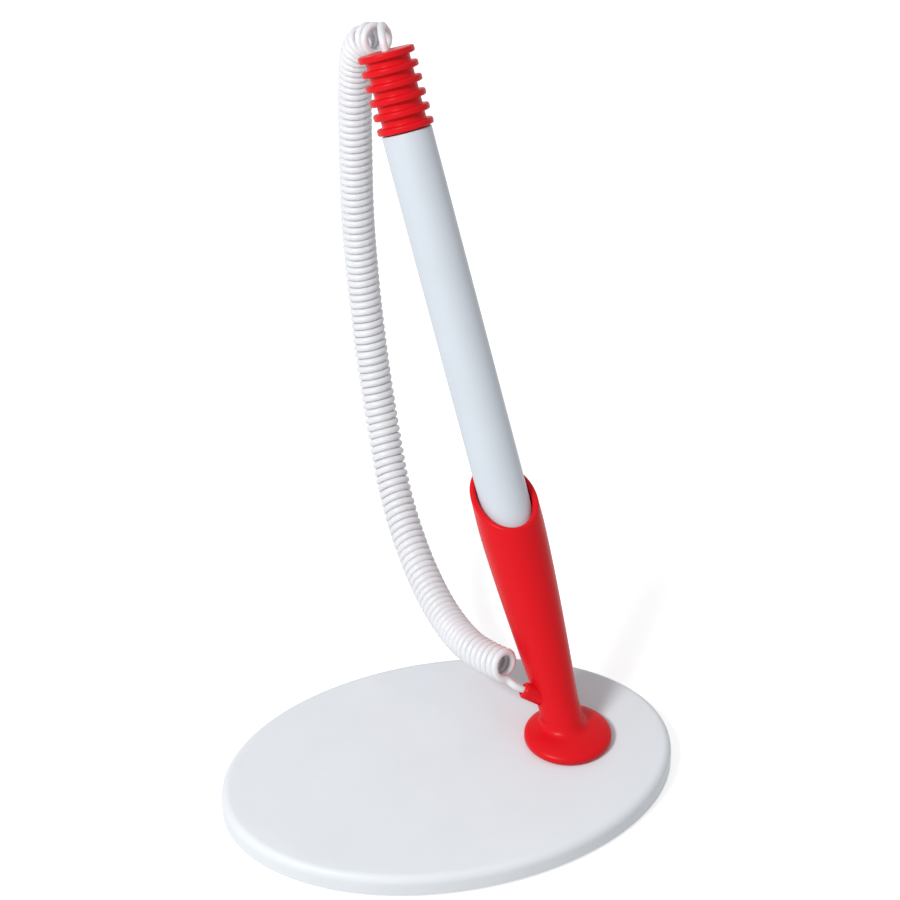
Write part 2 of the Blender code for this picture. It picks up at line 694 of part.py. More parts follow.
def build_coil_cord(swivel, pen_axis, material):
    """Coiled cord from the cap's roof, over the back of the pen and round to the lug."""
    lean = pen_axis.rotation_euler.to_matrix()
    root, tip = lug_axis()
    heading = lean @ AXIS
    lug_heading = lean @ (tip - root).normalized()
    cap_end = heading * (CAP_TOP + TAIL_LENGTH)
    lug_mouth = lean @ tip
    lug_end = lug_mouth + lug_heading * TAIL_LENGTH
    table = Vector((0.0, 0.0, BASE_TOP))
    coil = coil_points(smooth_line([Vector(point) - table for point in CORD_ROUTE]))
    upper_link = link(cap_end, heading, coil[0], (coil[1] - coil[0]).normalized())
    lower_link = link(coil[-1], (coil[-1] - coil[-2]).normalized(), lug_end, -lug_heading)

    plug_face = heading * (PLUG_TOP + SEAT_GAP)
    lug_floor = lug_mouth - lug_heading * (LUG_HOLE_DEPTH - SEAT_GAP)
    upper_end = [plug_face, heading * CAP_TOP, cap_end]
    wire = upper_end + [*upper_link, *coil, *lower_link, lug_end, lug_mouth, lug_floor]
    print(f"coil_cord: least gap to itself {least_gap(wire) * 1000:.2f} mm")
    wire_length = sum((Vector(b) - Vector(a)).length for a, b in zip(wire, wire[1:]))
    print(f"coil_cord: wire {wire_length:.3f} m")

    curve = bpy.data.curves.new("coil_cord", 'CURVE')
    curve.dimensions = '3D'
    curve.bevel_depth = WIRE_RADIUS
    curve.bevel_resolution = 1
    curve.use_fill_caps = True
    spline = curve.splines.new('POLY')
    spline.points.add(len(wire) - 1)
    for point, place in zip(spline.points, wire):
        point.co = (*place, 1.0)
    spline.use_smooth = True
    curve.materials.append(material)
    cord = bpy.data.objects.new("coil_cord", curve)
    cord.parent = swivel
    bpy.context.collection.objects.link(cord)


def main():
    """Build every piece of the counter pen."""
    clear_scene()
    white = finish("white_plastic", (0.78, 0.80, 0.83), 0.35)
    red = finish("red_plastic", (0.77, 0.015, 0.025), 0.3)
    soft_white = finish("cord_plastic", (0.84, 0.85, 0.88), 0.4)
    foam = finish("grey_foam", (0.18, 0.18, 0.19), 0.9)
    clear = finish("tube_plastic", (0.55, 0.58, 0.65), 0.3)
    steel = finish("plated_steel", (0.6, 0.6, 0.62), 0.3, 1.0)
    brass = finish("brass", (0.72, 0.53, 0.24), 0.3, 1.0)

    swivel = empty("swivel", None, (PIVOT_X, 0.0, BASE_TOP), (0.0, 0.0, HOLDER_TURN))
    pen_axis = empty("pen_axis", swivel, rotation=(-PEN_LEAN, 0.0, 0.0))

    build_base_plate(white)
    build_base_pad(foam)
    build_pivot(swivel, steel)
    build_holder(swivel, pen_axis, red)
    build_barrel(pen_axis, white)
    build_nose_cone(pen_axis, white)
    build_refill(pen_axis, clear, brass, steel)
    build_rear_cap(pen_axis, red)
    build_cord_plug(pen_axis, soft_white)
    build_coil_cord(swivel, pen_axis, soft_white)


main()
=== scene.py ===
import json
import math

import bmesh
import bpy
import numpy as np
from bpy.props import FloatProperty, FloatVectorProperty, IntProperty, PointerProperty
from mathutils import Matrix, Vector
from mathutils.geometry import interpolate_bezier


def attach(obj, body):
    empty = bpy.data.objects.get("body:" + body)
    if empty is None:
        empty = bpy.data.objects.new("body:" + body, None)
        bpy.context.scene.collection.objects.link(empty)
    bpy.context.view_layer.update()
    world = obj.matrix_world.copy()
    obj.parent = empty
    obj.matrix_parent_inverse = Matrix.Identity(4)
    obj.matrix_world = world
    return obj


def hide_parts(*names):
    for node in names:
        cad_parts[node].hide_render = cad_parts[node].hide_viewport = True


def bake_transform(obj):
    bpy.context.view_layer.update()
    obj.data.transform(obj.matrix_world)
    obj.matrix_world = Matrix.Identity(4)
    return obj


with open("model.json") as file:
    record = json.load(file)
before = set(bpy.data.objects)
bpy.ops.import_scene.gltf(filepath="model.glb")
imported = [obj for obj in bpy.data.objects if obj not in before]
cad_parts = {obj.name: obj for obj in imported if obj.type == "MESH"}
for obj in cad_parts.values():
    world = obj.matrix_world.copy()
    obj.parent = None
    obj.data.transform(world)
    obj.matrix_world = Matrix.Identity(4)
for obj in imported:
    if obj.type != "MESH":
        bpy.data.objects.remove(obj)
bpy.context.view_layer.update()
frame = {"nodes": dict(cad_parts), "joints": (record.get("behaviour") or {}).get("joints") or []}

bl_info = {
    "name": "Counter Pen",
    "version": (1, 0, 0),
    "blender": (4, 5, 0),
    "location": "View3D > Sidebar > Counter Pen",
    "description": "Dresses a counter pen: oval stand, quill-cut holder, pen and coiled cord",
    "category": "Object",
}

JOINTS = {joint["name"]: joint for joint in frame["joints"]}
PIVOT = Vector(JOINTS["swivel"]["pos_m"])
PEN_HEADING = Vector(JOINTS["pen_lift"]["axis"]).normalized()
PEN_TURN = math.atan2(-PEN_HEADING.x, PEN_HEADING.y)
PEN_LEAN = math.acos(PEN_HEADING.z)
AXIS = Vector((0.0, 0.0, 1.0))
SEAT_GAP = 0.0003   # between pieces that fit into each other


def swivel_frame():
    """Matrix from the holder's upright frame to the row frame."""
    return Matrix.Translation(PIVOT) @ Matrix.Rotation(PEN_TURN, 4, 'Z')


def pen_frame():
    """Matrix from the pen's own frame, whose +Z is the pen's axis, to the row frame."""
    return swivel_frame() @ Matrix.Rotation(-PEN_LEAN, 4, 'X')


def length(name, default, description):
    """A size that a user may change, in metres."""
    return FloatProperty(name=name, description=description, default=default,
                         unit='LENGTH', precision=5)


def colour(name, default, description):
    """A linear colour that a user may change."""
    return FloatVectorProperty(name=name, description=description, default=default,
                               subtype='COLOR', size=3, min=0.0, max=1.0)


def ratio(name, default, description):
    """A share between 0 and 1."""
    return FloatProperty(name=name, description=description, default=default, min=0.0, max=1.0)


def angle(name, default, description):
    """An angle, given in degrees."""
    return FloatProperty(name=name, description=description, default=math.radians(default),
                         subtype='ANGLE')


def light_strength(name, default, description):
    """Strength of a light."""
    return FloatProperty(name=name, description=description, default=default, min=0.0)


class StandSettings(bpy.types.PropertyGroup):
    """Oval stand"""

    length: length("Length", 0.102, "Long axis of the oval plate")
    width: length("Width", 0.071, "Short axis of the oval plate")
    top: length("Top", PIVOT.z, "Height of the plate's upper face")
    lift: length("Rim Lift", 0.0004, "Gap between the rim and the table")
    shoulder: length("Shoulder", 0.0019, "Rounding of the upper edge")
    rim: length("Rim", 0.0022, "Width of the rim round the pad")
    pad: length("Pad", 0.0015, "Thickness of the foam pad")
    window: length("Window", 0.0082, "Radius of the opening round the pivot screw")
    ceiling: length("Ceiling", 0.0033, "Height of the inner face of the top wall")
    hole: length("Pivot Hole", 0.0048, "Radius of the hole for the holder's spigot")
    white: colour("White", (0.765, 0.80, 0.84), "Moulded white plastic")
    foam: colour("Foam", (0.10, 0.10, 0.11), "Pad under the plate")


class HolderSettings(bpy.types.PropertyGroup):
    """Quill-cut holder"""

    foot: length("Foot", 0.00975, "Radius of the round foot")
    foot_edge: length("Foot Edge", 0.0014, "Height of the foot's straight edge")
    foot_crown: length("Foot Crown", 0.0036, "Height of the foot's dome")
    spigot: length("Spigot", 0.0045, "Radius of the part that turns in the plate")
    spigot_drop: length("Spigot Drop", 0.0025, "Length of the spigot below the plate's upper face")
    fillet: length("Fillet", 0.0013, "Rounding between the stem and the foot")
    stem: length("Stem", 0.0046, "Radius of the stem")
    stem_top: length("Stem Top", 0.009, "Station where the stem starts to widen")
    belly: length("Belly", 0.0073, "Largest radius")
    belly_station: length("Belly Station", 0.050, "Station of the largest radius")
    lip: length("Lip", 0.0069, "Radius at the lip")
    mouth_low: length("Mouth Low", 0.0504, "Station of the low side of the mouth")
    mouth_slant: angle("Mouth Slant", 47.0, "Slant of the quill cut")
    mouth_turn: angle("Mouth Turn", -10.0, "How far the low side is turned from the front")
    bore: length("Bore", 0.00575, "Radius of the pocket for the pen")
    pocket_floor: length("Pocket Floor", 0.0125, "Station of the pocket's floor")
    lug: length("Lug", 0.0019, "Radius of the cord's lug")
    red: colour("Red", (0.70, 0.007, 0.013), "Moulded red plastic")


class PenSettings(bpy.types.PropertyGroup):
    """Pen"""

    nose: length("Nose", 0.016, "Station of the nose's front")
    nose_length: length("Nose Length", 0.020, "Length of the nose cone")
    nose_front: length("Nose Front", 0.002, "Radius at the nose's front")
    barrel_front: length("Barrel Front", 0.00545, "Radius at the barrel's front")
    barrel_rear: length("Barrel Rear", 0.0056, "Radius at the barrel's rear")
    barrel_length: length("Barrel Length", 0.1038, "Length of the barrel")
    barrel_bore: length("Barrel Bore", 0.0044, "Radius of the barrel's bore")
    ring: length("Ring", 0.0063, "Radius of the cap's rings")
    ring_pitch: length("Ring Pitch", 0.0032, "Distance between the cap's rings")
    ring_thickness: length("Ring Thickness", 0.0015, "Thickness of each ring")
    ring_count: IntProperty(name="Rings", description="Rings on the rear cap", default=6, min=1)
    core: length("Core", 0.00495, "Radius of the cap between its rings")
    white: colour("White", (0.61, 0.66, 0.72), "Moulded white plastic of the barrel")
    red: colour("Red", (0.70, 0.007, 0.013), "Moulded red plastic of the cap")


class CordSettings(bpy.types.PropertyGroup):
    """Coiled cord"""

    wire: length("Wire", 0.00085, "Radius of the wire")
    coil: length("Coil", 0.00305, "Radius of the coil at the middle of the wire")
    turns: IntProperty(name="Turns", description="Turns of the coil", default=104, min=1)
    entry: angle("Entry", 225.0, "Where the wire joins the first turn, from its underside")
    leaving: angle("Leaving", 170.0, "Where the wire leaves the last turn")
    cap_pull: ratio("Cap Pull", 0.28, "How straight the wire runs from the cap to the first turn")
    lug_pull: ratio("Lug Pull", 0.45, "How straight the wire runs from the last turn to the lug")
    fan: ratio("Fan", 0.6, "How far the turns open where the coil bends")
    tail: length("Tail", 0.0014, "Straight end outside the cap and the lug")
    white: colour("White", (0.76, 0.77, 0.80), "Soft white plastic")


class StageSettings(bpy.types.PropertyGroup):
    """Camera, floor and lights"""

    distance: length("Distance", 0.750, "From the camera to the point that it looks at")
    azimuth: angle("Azimuth", -17.4, "Camera's turn round the stand")
    elevation: angle("Elevation", 36.6, "Camera's angle above the horizon")
    lens: FloatProperty(name="Lens", description="Focal length", default=141.39, unit='CAMERA')
    aim_height: length("Aim Height", 0.060, "Height of the point that the camera looks at")
    aim_right: length("Aim Right", 0.00045, "Shift of that point to the right in the picture")
    aim_up: length("Aim Up", 0.0255, "Shift of that point upwards in the picture")
    floor: colour("Floor", (0.72, 0.72, 0.72), "Pale floor")
    sky: light_strength("Sky", 0.47, "Strength of the even light")
    key: light_strength("Key", 8.8, "Power of the soft light from the front left")


class Link:
    """A socket in a material's nodes. Arithmetic on it adds Math nodes."""

    def __init__(self, tree, socket):
        self.tree = tree
        self.socket = socket

    def node(self, kind, settings=None, inputs=None, output=0):
        """Add a node: its settings first, then the values or links of its sockets."""
        made = self.tree.nodes.new(kind)
        for name, value in (settings or {}).items():
            setattr(made, name, value)
        for name, value in (inputs or {}).items():
            if isinstance(value, Link):
                self.tree.links.new(value.socket, made.inputs[name])
            else:
                made.inputs[name].default_value = value
        return Link(self.tree, made.outputs[output])

    def math(self, operation, first, second):
        return self.node('ShaderNodeMath', {"operation": operation}, {0: first, 1: second})

    def __add__(self, other):
        return self.math('ADD', self, other)

    def __radd__(self, other):
        return self.math('ADD', other, self)

    def __mul__(self, other):
        return self.math('MULTIPLY', self, other)

    def __rmul__(self, other):
        return self.math('MULTIPLY', other, self)

    def feed(self, socket):
        """Lead this value to a shader's socket."""
        self.tree.links.new(self.socket, socket)


def new_material(name):
    """Return a material, its Principled shader and a Link at the object's coordinates."""
    material = bpy.data.materials.new(name)
    material.use_nodes = True
    tree = material.node_tree
    coordinates = tree.nodes.new('ShaderNodeTexCoord')
    return material, tree.nodes["Principled BSDF"], Link(tree, coordinates.outputs["Object"])


def noise(place, scale, detail):
    """Even noise, in features per metre."""
    return place.node('ShaderNodeTexNoise', {"normalize": True},
                      {"Vector": place, "Scale": scale, "Detail": detail, "Roughness": 0.5})


def tinted(tint, factor):
    """A colour made lighter or darker."""
    return (*(min(1.0, value * factor) for value in tint), 1.0)


def clouded(place, clouds, tint, darkest, lightest):
    """A colour that drifts between a darker and a lighter tint."""
    return place.node('ShaderNodeMix', {"data_type": 'RGBA'},
                      {"Factor": clouds, "A": tinted(tint, darkest), "B": tinted(tint, lightest)}, 2)


def relief(place, strength, depth, height):
    """A fine relief for a shader's Normal."""
    return place.node('ShaderNodeBump', None,
                      {"Strength": strength, "Distance": depth, "Height": height})


MOULD_CLOUDS = 90.0     # features per metre
MOULD_SPECKLE = 420.0
MOULD_SKIN = 1900.0
MOULD_DEPTH = 0.00004   # depth of the relief


def moulded(name, tint, roughness, coat=0.0, grain=1.0, gleam=0.5):
    """Moulded plastic: faint flow clouds in the colour, uneven gloss and a fine skin."""
    material, shader, place = new_material(name)
    clouds = noise(place, MOULD_CLOUDS, 3.0)
    skin = noise(place, MOULD_SKIN, 2.0)
    speckle = noise(place, MOULD_SPECKLE, 2.0)
    clouded(place, clouds, tint, 0.965, 1.035).feed(shader.inputs["Base Color"])
    # Noise lies about 0.5, so the gloss varies round the roughness that was asked for.
    gloss = roughness - 0.07 + clouds * 0.08 + speckle * 0.06
    gloss.feed(shader.inputs["Roughness"])
    height = skin + speckle * 0.8
    relief(place, 0.10 * grain, MOULD_DEPTH, height).feed(shader.inputs["Normal"])
    shader.inputs["Coat Weight"].default_value = coat
    shader.inputs["Coat Roughness"].default_value = 0.12
    shader.inputs["IOR"].default_value = 1.49
    shader.inputs["Specular IOR Level"].default_value = gleam
    return material


SOFT_WEIGHT = 0.5
SOFT_REACH = 0.0015             # how far light passes into the wire
SOFT_TINT = (1.0, 0.95, 0.9)    # red passes furthest


def soft_white(name, tint):
    """Soft plastic that lets a little light through."""
    material = moulded(name, tint, roughness=0.38, grain=0.5)
    shader = material.node_tree.nodes["Principled BSDF"]
    shader.inputs["Subsurface Weight"].default_value = SOFT_WEIGHT
    shader.inputs["Subsurface Radius"].default_value = SOFT_TINT
    shader.inputs["Subsurface Scale"].default_value = SOFT_REACH
    return material


FOAM_CLOUDS = 160.0     # features per metre
FOAM_CELLS = 1500.0
FOAM_DEPTH = 0.0002


def foam_sheet(name, tint):
    """Closed-cell foam with small pits."""
    material, shader, place = new_material(name)
    cells = place.node('ShaderNodeTexVoronoi', {"feature": 'F1'},
                       {"Vector": place, "Scale": FOAM_CELLS})
    clouds = noise(place, FOAM_CLOUDS, 3.0)
    clouded(place, clouds, tint, 0.8, 1.25).feed(shader.inputs["Base Color"])
    (0.86 + cells * 0.1).feed(shader.inputs["Roughness"])
    relief(place, 0.5, FOAM_DEPTH, cells).feed(shader.inputs["Normal"])
    return material


METAL_CLOUDS = 500.0    # features per metre
METAL_MARKS = 5200.0
METAL_DEPTH = 0.00003


def metal(name, tint, roughness):
    """Turned or plated metal with fine tool marks and uneven gloss."""
    material, shader, place = new_material(name)
    clouds = noise(place, METAL_CLOUDS, 3.0)
    marks = noise(place, METAL_MARKS, 1.0)
    clouded(place, clouds, tint, 0.9, 1.06).feed(shader.inputs["Base Color"])
    (roughness - 0.05 + clouds * 0.14).feed(shader.inputs["Roughness"])
    shader.inputs["Metallic"].default_value = 1.0
    relief(place, 0.12, METAL_DEPTH, marks).feed(shader.inputs["Normal"])
    return material


def object_from(name, shape, material, body, smooth):
    """Make a piece from a bmesh in the row frame, smooth up to an angle in degrees, on a body."""
    bmesh.ops.recalc_face_normals(shape, faces=shape.faces)
    mesh = bpy.data.meshes.new(name)
    shape.to_mesh(mesh)
    shape.free()
    mesh.shade_smooth()
    mesh.set_sharp_from_angle(angle=math.radians(smooth))
    mesh.materials.append(material)
    item = bpy.data.objects.new(name, mesh)
    bpy.context.scene.collection.objects.link(item)
    if body:
        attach(item, body)
    return item


def dress(node, material):
    """Give a CAD node its finish."""
    item = frame["nodes"][node]
    item.data.materials.clear()
    item.data.materials.append(material)


WELD = 1e-7   # points nearer than this become one


def turned(profile, steps, closed=False):
    """Skin a profile of (radius, height) points that is turned round +Z."""
    rows = []
    for radius, height in profile:
        row = []
        for step in range(steps):
            turn = 2 * math.pi * step / steps
            row.append(Vector((radius * math.cos(turn), radius * math.sin(turn), height)))
        rows.append(row)
    if closed:
        rows.append(rows[0])
    shape = grid_skin(rows, close_ends=False)
    bmesh.ops.remove_doubles(shape, verts=shape.verts, dist=WELD)
    return shape


def arc(centre, radius, start, sweep, steps):
    """Points of an arc in the (radius, height) plane."""
    points = []
    for step in range(steps + 1):
        turn = start + sweep * step / steps
        points.append((centre[0] + radius * math.cos(turn), centre[1] + radius * math.sin(turn)))
    return points


def grid_skin(rows, close_ends=True):
    """Skin a list of closed loops of points."""
    shape = bmesh.new()
    loops = [[shape.verts.new(point) for point in row] for row in rows]
    for lower, upper in zip(loops, loops[1:]):
        for here in range(len(lower)):
            there = (here + 1) % len(lower)
            shape.faces.new((lower[here], lower[there], upper[there], upper[here]))
    if close_ends:
        shape.faces.new(loops[0])
        shape.faces.new(loops[-1])
    return shape


def place_shape(shape, matrix):
    """Move a bmesh by a matrix."""
    bmesh.ops.transform(shape, matrix=matrix, verts=shape.verts)
    return shape


def union(first, second):
    """Join two closed shapes into one."""
    items = []
    for shape in (first, second):
        bmesh.ops.recalc_face_normals(shape, faces=shape.faces)
        mesh = bpy.data.meshes.new("joining")
        shape.to_mesh(mesh)
        shape.free()
        items.append(bpy.data.objects.new("joining", mesh))
        bpy.context.scene.collection.objects.link(items[-1])
    modifier = items[0].modifiers.new("union", 'BOOLEAN')
    modifier.operation = 'UNION'
    modifier.object = items[1]
    joined = bmesh.new()
    joined.from_object(items[0], bpy.context.evaluated_depsgraph_get())
    for item in items:
        mesh = item.data
        bpy.data.objects.remove(item)
        bpy.data.meshes.remove(mesh)
    return joined


OUTLINE_STEPS = 256     # points round the stand
SHOULDER_STEPS = 10
TOP_MARGIN = 0.004      # width of the flat ring inside the shoulder
RIM_BEVEL = 0.0004
PAD_BEVEL = 0.0002
LOOP_WELD = 1e-8


def level_loop(middle, half_length, half_width, height):
    """A level ellipse round a place on the stand's long axis."""
    points = []
    for step in range(OUTLINE_STEPS):
        turn = 2 * math.pi * step / OUTLINE_STEPS
        points.append(Vector((middle + half_length * math.cos(turn),
                              half_width * math.sin(turn), height)))
    return points


def oval(stand, inset, height):
    """One loop of the stand's outline, set in by an inset."""
    return level_loop(0.0, stand.length / 2 - inset, stand.width / 2 - inset, height)


def pivot_ring(radius, height):
    """A round loop about the pivot, point for point with an oval loop."""
    return level_loop(PIVOT.x, radius, radius, height)


def ring_skin(rows):
    """Skin loops into a closed ring, from the last one back to the first."""
    shape = grid_skin(rows + rows[:1], close_ends=False)
    bmesh.ops.remove_doubles(shape, verts=shape.verts, dist=LOOP_WELD)
    return shape


class PEN_OT_stand(bpy.types.Operator):
    """Build the oval plate and its foam pad"""

    bl_idname = "counter_pen.stand"
    bl_label = "Stand"

    def execute(self, context):
        stand = context.scene.counter_pen_stand
        white = moulded("stand_white", stand.white, roughness=0.42, gleam=0.25)
        seat = stand.pad + SEAT_GAP
        rows = [
            pivot_ring(stand.hole, stand.top),
            oval(stand, stand.shoulder + TOP_MARGIN, stand.top),
        ]
        shoulder = arc((0.0, stand.top - stand.shoulder), stand.shoulder,
                       math.pi / 2, -math.pi / 2, SHOULDER_STEPS)
        for reach, height in shoulder:
            rows.append(oval(stand, stand.shoulder - reach, height))
        rows += [
            oval(stand, 0.0, stand.lift + RIM_BEVEL),
            oval(stand, RIM_BEVEL, stand.lift),
            oval(stand, stand.rim - RIM_BEVEL / 2, stand.lift),
            oval(stand, stand.rim, stand.lift + RIM_BEVEL / 2),
            oval(stand, stand.rim, seat),
            pivot_ring(stand.window, seat),
            pivot_ring(stand.window, stand.ceiling),
            pivot_ring(stand.hole, stand.ceiling),
        ]
        shape = ring_skin(rows)
        plate = object_from("stand_plate", shape, white, "stand", smooth=40.0)
        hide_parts("base_plate")

        inset = stand.rim + SEAT_GAP
        rows = [
            pivot_ring(stand.window, 0.0),
            oval(stand, inset + PAD_BEVEL, 0.0),
            oval(stand, inset, PAD_BEVEL),
            oval(stand, inset, stand.pad),
            pivot_ring(stand.window, stand.pad),
        ]
        foam = foam_sheet("pad_foam", stand.foam)
        pad = object_from("stand_pad", ring_skin(rows), foam, "stand", smooth=40.0)
        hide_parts("base_pad")
        return {'FINISHED'}


PLATING_TINT = (0.62, 0.62, 0.64)


class PEN_OT_pivot(bpy.types.Operator):
    """Finish the screw and the washer under the stand"""

    bl_idname = "counter_pen.pivot"
    bl_label = "Pivot"

    def execute(self, context):
        steel = metal("pivot_plating", PLATING_TINT, 0.28)
        dress("pivot_screw", steel)
        dress("pivot_washer", steel)
        return {'FINISHED'}


STEM_SWELL = 1.35       # how early the stem swells to the belly
NOSE_SWELL = 0.85       # how full the nose cone is
FILLET_RISE = 1.4       # how far the fillet climbs the stem, in fillet radii
FOOT_BEVEL = 0.0003
TIP_HOLE = 0.0018       # radius of the hole under the pocket, for the writing tip
ROOT_REACH = 0.02       # the stem's root is sought between the pivot and this station
ROOT_HALVINGS = 40
# Columns round the holder, and steps along each stretch of a column.
COLUMN_COUNT = 128
DOME_STEPS = 14
FILLET_STEPS = 8
WALL_STEPS = 40
LIP_STEPS = 10
POCKET_STEPS = 9
SEAT_STEPS = 12


def holder_radius(holder, station, top):
    """Outer radius of the holder at a station."""
    if station > holder.belly_station:
        part = (station - holder.belly_station) / (top - holder.belly_station)
        return holder.belly - (holder.belly - holder.lip) * part ** 2
    part = max(0.0, (station - holder.stem_top) / (holder.belly_station - holder.stem_top))
    return holder.stem + (holder.belly - holder.stem) * (1.0 - (1.0 - part) ** STEM_SWELL)


def nose_radius(pen, part):
    """Outer radius of the nose cone, from its front (0) to its rear (1)."""
    return pen.nose_front + (pen.barrel_front - pen.nose_front) * part ** NOSE_SWELL


class HolderShape:
    """Columns of the holder's skin, in its upright frame, foot to pocket floor."""

    def __init__(self, holder, pen):
        self.holder = holder
        self.pen = pen
        self.axis = Vector((0.0, math.sin(PEN_LEAN), math.cos(PEN_LEAN)))
        self.across = Vector((0.0, math.cos(PEN_LEAN), -math.sin(PEN_LEAN)))
        self.rise = (holder.lip + holder.bore) / 2 * math.tan(holder.mouth_slant)
        self.top = holder.mouth_low + 2 * self.rise

    def on_pen(self, turn, radius, station):
        """Point at a turn round the pen's axis, counted from the front."""
        ray = Vector((math.sin(turn), 0.0, 0.0)) - self.across * math.cos(turn)
        return self.axis * station + ray * radius

    def dome(self, plan):
        """Height of the foot's dome."""
        part = min(1.0, plan / self.holder.foot)
        crown = self.holder.foot_crown - self.holder.foot_edge
        return self.holder.foot_edge + crown * math.sqrt(1 - part ** 2)

    def stem_point(self, turn, station):
        """Point on the outside of the stem."""
        return self.on_pen(turn, holder_radius(self.holder, station, self.top), station)

    def meeting(self, turn):
        """Station where the stem comes out of the dome."""
        low, high = 0.0, ROOT_REACH
        for _ in range(ROOT_HALVINGS):
            middle = (low + high) / 2
            point = self.stem_point(turn, middle)
            if point.z > self.dome(point.to_2d().length):
                high = middle
            else:
                low = middle
        return high

    def foot_points(self, turn, root):
        """Spigot, foot, dome and fillet."""
        holder = self.holder
        plan = Vector((math.sin(turn), -math.cos(turn), 0.0))
        gap = AXIS * SEAT_GAP
        rim = plan * holder.foot
        spigot = plan * holder.spigot
        points = [spigot - AXIS * holder.spigot_drop, spigot + gap]
        points += [plan * (holder.foot - FOOT_BEVEL) + gap, rim + gap * 2]
        corner = self.stem_point(turn, root)
        outward = (corner - self.axis * root).to_2d().to_3d().normalized()
        start = corner + outward * holder.fillet
        start.z = self.dome(start.to_2d().length)
        for step in range(DOME_STEPS + 1):
            part = 1.0 - math.cos(step / DOME_STEPS * math.pi / 2)
            place = rim.lerp(Vector((start.x, start.y, 0.0)), part)
            points.append(Vector((place.x, place.y, self.dome(place.length))))
        end = self.stem_point(turn, root + holder.fillet * FILLET_RISE)
        for step in range(1, FILLET_STEPS):
            part = step / FILLET_STEPS
            rest = 1 - part
            points.append(start * rest ** 2 + corner * 2 * part * rest + end * part ** 2)
        return points

    def pocket_points(self, turn, lip_station):
        """Bore, seat of the nose cone and the hole for the writing tip."""
        bore, nose, nose_length = self.holder.bore, self.pen.nose, self.pen.nose_length
        run = nose + nose_length - lip_station
        points = []
        for step in range(1, POCKET_STEPS):
            points.append(self.on_pen(turn, bore, lip_station + run * step / POCKET_STEPS))
        for step in range(SEAT_STEPS + 1):
            part = 1.0 - step / SEAT_STEPS
            radius = nose_radius(self.pen, part) + SEAT_GAP
            points.append(self.on_pen(turn, radius, nose + nose_length * part))
        points.append(self.on_pen(turn, TIP_HOLE, nose - SEAT_GAP))
        points.append(self.on_pen(turn, TIP_HOLE, self.holder.pocket_floor))
        return points

    def column(self, turn):
        """One column of the skin: foot, stem, lip and pocket."""
        holder = self.holder
        root = self.meeting(turn)
        points = self.foot_points(turn, root)
        lip_round = (holder.lip - holder.bore) / 2
        climb = (1.0 - math.cos(turn - holder.mouth_turn)) * self.rise
        lip_station = holder.mouth_low + climb - lip_round
        first = root + holder.fillet * FILLET_RISE
        for step in range(WALL_STEPS):
            station = first + (lip_station - first) * step / WALL_STEPS
            points.append(self.stem_point(turn, station))
        outer = holder_radius(holder, lip_station, self.top)
        middle, half = (outer + holder.bore) / 2, (outer - holder.bore) / 2
        for radius, station in arc((middle, lip_station), half, 0.0, math.pi, LIP_STEPS):
            points.append(self.on_pen(turn, radius, station))
        return points + self.pocket_points(turn, lip_station)


LUG_ROOT = Vector((-0.0036, 0.0, 0.0109))   # in the pen's frame
LUG_TIP = Vector((-0.0076, 0.0, 0.0142))
LUG_DEPTH = 0.003           # depth of the hole for the cord
LUG_CLEARANCE = 0.00012     # round the wire
LUG_ROUNDING = 0.0008
LUG_BEVEL = 0.0002
LUG_SIDES = 48


def lug_shape(holder, wire):
    """Peg with a rounded end and a hole for the cord, in the pen's frame."""
    heading = LUG_TIP - LUG_ROOT
    reach = heading.length
    hole = wire + LUG_CLEARANCE
    floor = reach - LUG_DEPTH
    profile = [(0.0, floor), (hole, floor), (hole, reach - LUG_BEVEL), (hole + LUG_BEVEL, reach)]
    profile += arc((holder.lug - LUG_ROUNDING, reach - LUG_ROUNDING), LUG_ROUNDING,
                   math.pi / 2, -math.pi / 2, 6)
    profile += arc((0.0, 0.0), holder.lug, 0.0, -math.pi / 2, 8)
    shape = turned(profile, LUG_SIDES)
    turn = AXIS.rotation_difference(heading.normalized()).to_matrix().to_4x4()
    return place_shape(shape, Matrix.Translation(LUG_ROOT) @ turn)


class PEN_OT_holder(bpy.types.Operator):
    """Build the red holder in one skin from its foot to its quill-cut mouth"""

    bl_idname = "counter_pen.holder"
    bl_label = "Holder"

    def execute(self, context):
        scene = context.scene
        holder = scene.counter_pen_holder
        red = moulded("holder_red", holder.red, roughness=0.32, grain=0.8, gleam=0.12)
        outline = HolderShape(holder, scene.counter_pen_pen)
        turns = [2 * math.pi * step / COLUMN_COUNT for step in range(COLUMN_COUNT)]
        columns = [outline.column(turn) for turn in turns]
        shape = place_shape(grid_skin(list(zip(*columns))), swivel_frame())
        lug = place_shape(lug_shape(holder, scene.counter_pen_cord.wire), pen_frame())
        shape = union(shape, lug)
        item = object_from("holder_moulding", shape, red, "socket", smooth=50.0)
        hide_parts("holder")
        return {'FINISHED'}


BARREL_EDGE = 0.0003    # rounding of the barrel's ends
BARREL_STEPS = 24
BARREL_SIDES = 128
NOSE_SPIGOT = 0.008     # length of the nose's part inside the barrel
NOSE_BORE = 0.002
TIP_BORE = 0.00145      # narrow front of the nose's bore, round the writing tip
TIP_SEAT = 0.0025       # length of that front
NOSE_STEPS = 24
NOSE_SIDES = 96


